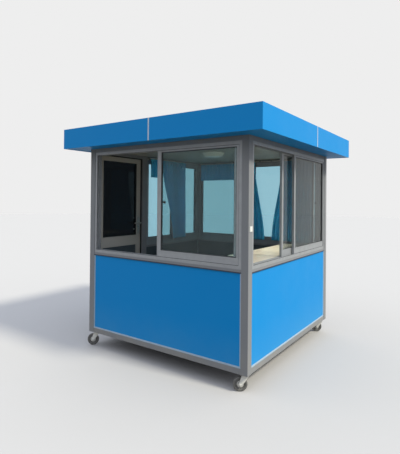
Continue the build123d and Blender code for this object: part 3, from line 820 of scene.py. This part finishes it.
# %% Hanging a cloth
rod_depth = 0.106
cloth_top = 2.157
cloth_thickness = 0.8 * mm
columns_per_fold = 14
row_height = 18 * mm
least_rows = 16
# How strong each slow wave is, and how many radians it runs across the cloth and down it. Two make the
# folds uneven, two let them wander, and one varies their depth.
slow_waves = ((0.0042, 7.3, 0), (0.0035, 13.1, 1.2), (0.30, 4.1, 0), (0.15, 9.7, 3), (0.15, 11, 0))
# At the rod the folds have 0.85 of the full depth. It varies further down, fully from a third of the way on.
# Their sides lean a little, most at the hem.
usual_share = 0.85
settled_by = 1 / 3
lean = 0.10


def hang(name, wall, left_edge, right_edge, drop, cut, folds, seed):
    """A gathered cloth on a rod. Its edges are functions of the height, 0 at the top and 1 at the hem."""
    rng = random.Random(seed)
    phases = [rng.uniform(0, 2 * math.pi) for _ in slow_waves]
    rows = max(least_rows, int(drop / row_height))
    bm = bmesh.new()
    grid = bmesh.ops.create_grid(bm, x_segments=folds * columns_per_fold, y_segments=rows, size=0.5)
    uv = bm.loops.layers.uv.new("cloth")
    for face in bm.faces:
        for loop in face.loops:
            loop[uv].uv = ((loop.vert.co.x + 0.5) * cut, (loop.vert.co.y + 0.5) * drop)
    depth_at = {}
    for vert in grid["verts"]:
        u = vert.co.x + 0.5
        v = 0.5 - vert.co.y
        x0 = left_edge(v)
        x1 = right_edge(v)
        row = round(v * rows)
        if row not in depth_at:
            depth_at[row] = fold_depth(abs(x1 - x0), cut, folds)
        slow = [strength * math.sin(across * u + down * v + phase)
                for (strength, across, down), phase in zip(slow_waves, phases)]
        angle = 2 * math.pi * folds * (u + slow[0] + slow[1]) + v * (slow[2] + slow[3])
        share = usual_share + slow[4] * min(1, v / settled_by)
        x = x0 + (x1 - x0) * (u + lean / folds * math.sin(2 * angle) * v)
        depth = rod_depth + depth_at[row] * share * math.sin(angle)
        vert.co = Vector((x, depth, cloth_top - drop * v))
    bmesh.ops.transform(bm, matrix=wall_matrix(wall), verts=bm.verts)
    area = sum(face.calc_area() for face in bm.faces)
    piece = finish_piece(name, bm, curtain_cloth, "booth", smooth=60)
    thick = piece.modifiers.new("cloth thickness", "SOLIDIFY")
    thick.thickness = cloth_thickness
    thick.offset = 0
    print(name, "hangs with", round(area, 4), "square metres; cut", round(cut * drop, 4))
    return piece


print("cloth tool ready")

# %% [markdown]
# ## The five curtains
#
# A short valance and a long drape hang at the left window, and a valance and two drapes at the back one. An
# edge either hangs plumb or is drawn aside on its way down, as where a drape is tied back. Each cloth
# stands for a flat slab of the CAD, which is hidden, and the size that it was cut to is printed.

# %% The five curtains
def straight(x):
    """An edge that hangs plumb."""
    return lambda v: x


def curved(top, bottom):
    """An edge that swings smoothly from its place at the top to its place at the hem."""
    return lambda v: top + (bottom - top) * (3 * v * v - 2 * v * v * v)


valance_drop = 0.235
drape_drop = 1.055
# Each row is a name, the CAD node it stands for, a wall, two edges, a drop, a cut width, folds and a seed.
curtains = (
    ("curtain_valance_left", "curtain_valances", "left", straight(-0.080), straight(0.149),
     valance_drop, 0.320, 5, 3),
    ("curtain_valance_back", "curtain_valances", "back", straight(0.208), straight(0.848),
     valance_drop, 0.860, 13, 4),
    ("curtain_drape_left", "curtain_drapes", "left", straight(-0.600), curved(-0.085, -0.340),
     drape_drop, 0.700, 7, 5),
    ("curtain_drape_back_right", "curtain_drapes", "back", straight(-0.848), curved(-0.438, -0.308),
     drape_drop, 0.860, 9, 6),
    ("curtain_drape_back_middle", "curtain_drapes", "back", curved(-0.050, -0.195), straight(0.100),
     drape_drop, 0.460, 5, 7),
)
for name, node, wall, left_edge, right_edge, drop, cut, folds, seed in curtains:
    piece = hang(name, wall, left_edge, right_edge, drop, cut, folds, seed)
    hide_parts(node)
print(len(curtains), "curtains hung")

# %% [markdown]
# ## Screw and bolt heads
#
# Small fasteners tell the eye how large a thing is. A screw head here is a short cylinder with its rim
# bevelled into a dome, and a bolt head is the same with six sides. Their slots are too fine to show. One
# function makes a head at a point, facing a direction, and another collects many in one mesh.

# %% Screw and bolt heads
dome_share = 0.45


def head(bm, place, facing, kind):
    """One head at a point, facing outwards. Its kind is a radius, a height and a number of sides."""
    radius, height, sides = kind
    turn = Vector((0, 0, 1)).rotation_difference(Vector(facing)).to_matrix().to_4x4()
    placed = Matrix.Translation(place) @ turn @ Matrix.Translation((0, 0, height / 2))
    made = bmesh.ops.create_cone(bm, cap_ends=True, segments=sides, radius1=radius, radius2=radius,
                                 depth=height, matrix=placed)
    top = max({face for vert in made["verts"] for face in vert.link_faces},
              key=lambda face: face.calc_center_median().dot(Vector(facing)))
    round_edges(bm, top.edges, height * dome_share)


def screws(name, places, facing, kind, material, body):
    """A set of equal heads as one piece."""
    bm = bmesh.new()
    for place in places:
        head(bm, place, facing, kind)
    finish_piece(name, bm, material, body)


print("head tools ready")

# %% [markdown]
# ## Screws and cylinders on the door
#
# Three hinges carry the door, each with three screws in either leaf. One leaf stays on the post and the
# other swings, so their screws are two pieces on two bodies. The lock has a plate on both faces of the
# door, with a screw at each end and a key cylinder below the lever.

# %% Screws and cylinders on the door
hinge_screw = (4.2 * mm, 1.8 * mm, 16)
lock_screw = (4 * mm, 1.6 * mm, 16)
key_cylinder = (8.5 * mm, 4 * mm, 32)
hinge_x = -1.002
hinge_y = -0.9665
lowest_hinge = 0.393
hinge_pitch = 0.7845
hinge_count = 3
screw_pitch = 30 * mm
leaf_reach = 21.5 * mm
for name, body, y in (("post", "booth", hinge_y - leaf_reach), ("door", "door", hinge_y + leaf_reach)):
    places = [(hinge_x, y, lowest_hinge + i * hinge_pitch + dz)
              for i in range(hinge_count) for dz in (-screw_pitch, 0, screw_pitch)]
    screws(f"hinge_screws_{name}", places, (-1, 0, 0), hinge_screw, stainless, body)

plate_middle = 19 * mm
lock_screw_reach = 94 * mm
cylinder_drop = 45 * mm
outer_plate_x = -1.006
inner_plate_x = -0.954
lock_low, lock_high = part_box("door_lock")
lock_y = lock_low.y + plate_middle
lock_z = (lock_low.z + lock_high.z) / 2
for side, x, facing in (("outside", outer_plate_x, (-1, 0, 0)), ("inside", inner_plate_x, (1, 0, 0))):
    places = [(x, lock_y, lock_z + dz) for dz in (-lock_screw_reach, lock_screw_reach)]
    screws(f"lock_screws_{side}", places, facing, lock_screw, stainless, "door")
    screws(f"lock_cylinder_{side}", [(x, lock_y, lock_z - cylinder_drop)], facing, key_cylinder,
           stainless, "door")
print("fasteners on the door")

# %% [markdown]
# ## Spun shapes
#
# A turned or pressed disc is best drawn as half of its section, spun round its axle. The spin is a full
# turn, so its last step is merged with its first. A profile that starts on the axle makes a pole of many
# points in one place, and they are merged too.

# %% Spun shapes
pole_merge = 0.01 * mm


def spun_disc(bm, profile, matrix, steps=40):
    """Spins a profile of (radius, height) points round Z, closes its poles, and places it."""
    placed = set(bm.verts)
    verts = [bm.verts.new((r, 0, z)) for r, z in profile]
    edges = [bm.edges.new(pair) for pair in zip(verts[:-1], verts[1:])]
    bmesh.ops.spin(bm, geom=verts + edges, cent=(0, 0, 0), axis=(0, 0, 1), dvec=(0, 0, 0),
                   angle=2 * math.pi, steps=steps, use_merge=True, use_normal_flip=False,
                   use_duplicate=False)
    bmesh.ops.remove_doubles(bm, verts=[v for v in bm.verts if v not in placed], dist=pole_merge)
    bmesh.ops.transform(bm, matrix=matrix, verts=[v for v in bm.verts if v not in placed])


print("spin tool ready")

# %% [markdown]
# ## Casters
#
# Each caster is bolted up through its plate at four corners, and a nut closes each end of the axle. The
# wheel's hub is a plated disc with a raised rim, spun from its profile. The hubs turn with the wheels, the
# nuts turn with the forks, and the bolts stay with the booth.

# %% Caster fittings
axle_nut = (9.5 * mm, 6 * mm, 6)
plate_bolt = (6.5 * mm, 5 * mm, 6)
caster_inset = 60 * mm
caster_trail = 38 * mm
wheel_radius = 62.5 * mm
heading = math.radians(215)
nut_reach = 25.5 * mm
bolt_reach_x = 37 * mm
bolt_reach_y = 30 * mm
plate_bottom = 150 * mm
# Radius and distance from the wheel's middle, from the hub's centre out to its rim.
hub_profile = [(0, 0.0195), (0.0085, 0.0195), (0.0095, 0.0175), (0.0175, 0.0175), (0.0190, 0.0165),
               (0.0198, 0.0062), (0.0262, 0.0062), (0.0278, 0.0078), (0.0286, 0.0078), (0.0290, 0.0055)]
for corner, (sx, sy) in corners.items():
    cx = sx * (half_width - caster_inset)
    cy = sy * (half_depth - caster_inset)
    ahead = Vector((math.cos(heading), math.sin(heading), 0))
    side = Vector((-math.sin(heading), math.cos(heading), 0))
    axle = Vector((cx, cy, wheel_radius)) + caster_trail * ahead
    hubs = bmesh.new()
    nuts = bmesh.new()
    for way in (-side, side):
        turn = Vector((0, 0, 1)).rotation_difference(way).to_matrix().to_4x4()
        spun_disc(hubs, hub_profile, Matrix.Translation(axle) @ turn)
        head(nuts, axle + way * nut_reach, way, axle_nut)
    finish_piece(f"wheel_hub_{corner}", hubs, plated_steel, f"wheel_{corner}")
    finish_piece(f"axle_nuts_{corner}", nuts, plated_steel, f"swivel_{corner}")
    places = [(cx + px, cy + py, plate_bottom)
              for px in (-bolt_reach_x, bolt_reach_x) for py in (-bolt_reach_y, bolt_reach_y)]
    screws(f"plate_bolts_{corner}", places, (0, 0, -1), plate_bolt, plated_steel, "booth")
print("caster fittings made")

# %% [markdown]
# ## The lamp's ring
#
# The ceiling lamp is an opal bowl on a round base. A thin bright ring holds the bowl, as on most lamps of
# this kind. The spin that makes the hubs makes it too, from a small circle that stands off the lamp's axis.

# %% The lamp's ring
ring_below_ceiling = 14 * mm
ring_share = 0.955
wire_radius = 4 * mm
wire_sides = 12
lamp_low, lamp_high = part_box("ceiling_lamp")
ring_radius = (lamp_high.x - lamp_low.x) / 2 * ring_share
lamp_centre = (lamp_low + lamp_high) / 2
lamp_centre.z = lamp_high.z - ring_below_ceiling
circle = []
for i in range(wire_sides + 1):
    angle = 2 * math.pi * (i % wire_sides) / wire_sides
    circle.append((ring_radius + wire_radius * math.cos(angle), wire_radius * math.sin(angle)))
bm = bmesh.new()
spun_disc(bm, circle, Matrix.Translation(lamp_centre), steps=72)
finish_piece("lamp_ring", bm, stainless, "booth")
print("lamp ring made")

# %% [markdown]
# ## The roof's top
#
# A sheet as large as the roof is laid in three widths. Each joint is covered by a folded strip, and screws
# with rubber washers hold the sheets down on the purlins. A washer and its screw are two heads on one spot.

# %% The roof's top
washer = (9 * mm, 2 * mm, 16)
roof_screw = (5.5 * mm, 6.5 * mm, 6)
seam_half = 30 * mm
seam_height = 6 * mm
seam_round = 2 * mm
edge_gap = 4 * mm
sheet_count = 3
screws_per_sheet = 4
purlin_count = 5
purlin_half = 20 * mm
roof_low, roof_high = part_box("roof_sheet")
purlins_low, purlins_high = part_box("roof_purlins")
sheet_width = (roof_high.x - roof_low.x) / sheet_count
bm = bmesh.new()
for i in range(1, sheet_count):
    x = roof_low.x + i * sheet_width
    bar(bm, (x - seam_half, roof_low.y + edge_gap, roof_high.z),
        (x + seam_half, roof_high.y - edge_gap, roof_high.z + seam_height), seam_round)
finish_piece("roof_seams", bm, galvanised, "booth")

first_row = purlins_low.y + purlin_half
row_pitch = (purlins_high.y - purlins_low.y - 2 * purlin_half) / (purlin_count - 1)
screw_spacing = sheet_width / screws_per_sheet
spots = [(roof_low.x + (i + 0.5) * screw_spacing, first_row + row * row_pitch, roof_high.z)
         for row in range(purlin_count) for i in range(sheet_count * screws_per_sheet)]
screws("roof_washers", spots, (0, 0, 1), washer, seal_rubber, "booth")
screws("roof_screws", spots, (0, 0, 1), roof_screw, plated_steel, "booth")
print(len(spots), "roof screws")

# %% [markdown]
# ## The floor
#
# A plain pale floor keeps the eye on the booth and takes its shadow. It is a darker grey to the light that
# bounces off it than to the camera, so that it doesn't light the booth from below as snow would. Light Path
# tells the two apart.

# %% The floor
floor_radius = 40
speck_scale = 3.0
floor_material, tree, shader = start_material("pale_studio_floor", Roughness=0.9, Specular_IOR_Level=0.0)
place = add(tree, "ShaderNodeTexCoord").outputs["Object"]
speck = add(tree, "ShaderNodeTexNoise", inputs={"Vector": place, "Scale": speck_scale, "Detail": 4.0})
tone = add(tree, "ShaderNodeMix", {"data_type": "RGBA"},
           {"Factor": speck.outputs["Fac"], "A": paint("#b3b1b1"), "B": paint("#b4b2b2")})
bounce = add(tree, "ShaderNodeLightPath").outputs["Is Diffuse Ray"]
shown = add(tree, "ShaderNodeMix", {"data_type": "RGBA"},
            {"Factor": bounce, "A": tone.outputs["Result"], "B": paint("#6a6459")})
connect(tree, shader, Base_Color=shown.outputs["Result"])
bm = bmesh.new()
bmesh.ops.create_circle(bm, cap_ends=True, segments=96, radius=floor_radius)
mesh = bpy.data.meshes.new("studio_floor")
bm.to_mesh(mesh)
bm.free()
mesh.materials.append(floor_material)
floor = bpy.data.objects.new("studio_floor", mesh)
bpy.context.scene.collection.objects.link(floor)
print("floor laid")

# %% [markdown]
# ## The background and the sky's light
#
# The world has two parts. It is nearly white where the camera, a reflection or a pane looks at it, so that
# the picture has a plain background and the glass shows it too. Where it lights things, it is a soft bluish
# sky that is brighter overhead and towards the two sides.

# %% The background and the sky's light
sky_colour = (0.88, 0.95, 1.06, 1)
sky_level = 0.1
sky_overhead = 1.5
sky_sideways = 0.43
world = bpy.data.worlds.new("studio")
bpy.context.scene.world = world
world.use_nodes = True
tree = world.node_tree
ray = add(tree, "ShaderNodeLightPath").outputs
seen = add(tree, "ShaderNodeMath", {"operation": "MAXIMUM"},
           {0: ray["Is Camera Ray"], 1: ray["Is Transmission Ray"]})
seen = add(tree, "ShaderNodeMath", {"operation": "MAXIMUM"}, {0: seen.outputs[0], 1: ray["Is Glossy Ray"]})
direction = add(tree, "ShaderNodeTexCoord").outputs["Generated"]
way = add(tree, "ShaderNodeSeparateXYZ", inputs={0: direction}).outputs
from_above = add(tree, "ShaderNodeMapRange", inputs={
    "Value": way["Z"], "From Min": 0.0, "From Max": 1.0, "To Min": sky_level, "To Max": sky_overhead})
sideways = add(tree, "ShaderNodeMath", {"operation": "ABSOLUTE"}, {0: way["X"]})
strength = add(tree, "ShaderNodeMath", {"operation": "MULTIPLY_ADD"},
               {0: sideways.outputs[0], 1: sky_sideways, 2: from_above.outputs[0]})
lit = add(tree, "ShaderNodeBackground", inputs={"Color": sky_colour, "Strength": strength.outputs[0]})
shown = add(tree, "ShaderNodeBackground", inputs={"Color": paint("#eeeeee"), "Strength": 1.0})
both = add(tree, "ShaderNodeMixShader", inputs={0: seen.outputs[0], 1: lit.outputs[0], 2: shown.outputs[0]})
tree.links.new(both.outputs[0], tree.nodes["World Output"].inputs["Surface"])
print("sky made")

# %% [markdown]
# ## The sun
#
# One sun stands high on the right, as the bright right wall and the shadow under the roof show. It is
# eight degrees wide, far more than the real one, so that its shadows have soft edges as in a studio.

# %% The sun
sun_data = bpy.data.lights.new("sun", "SUN")
sun_data.energy = 3.4
sun_data.angle = math.radians(8)
sun_data.color = (1.0, 0.96, 0.8)
sun = bpy.data.objects.new("sun", sun_data)
sun_side = math.radians(3)
sun_height = math.radians(46)
sun_from = Vector((math.cos(sun_side) * math.cos(sun_height), math.sin(sun_side) * math.cos(sun_height),
                   math.sin(sun_height)))
sun.rotation_mode = "QUATERNION"
sun.rotation_quaternion = sun_from.to_track_quat("Z", "Y")
bpy.context.scene.collection.objects.link(sun)
bpy.context.scene.view_settings.view_transform = "Standard"
print("light set")
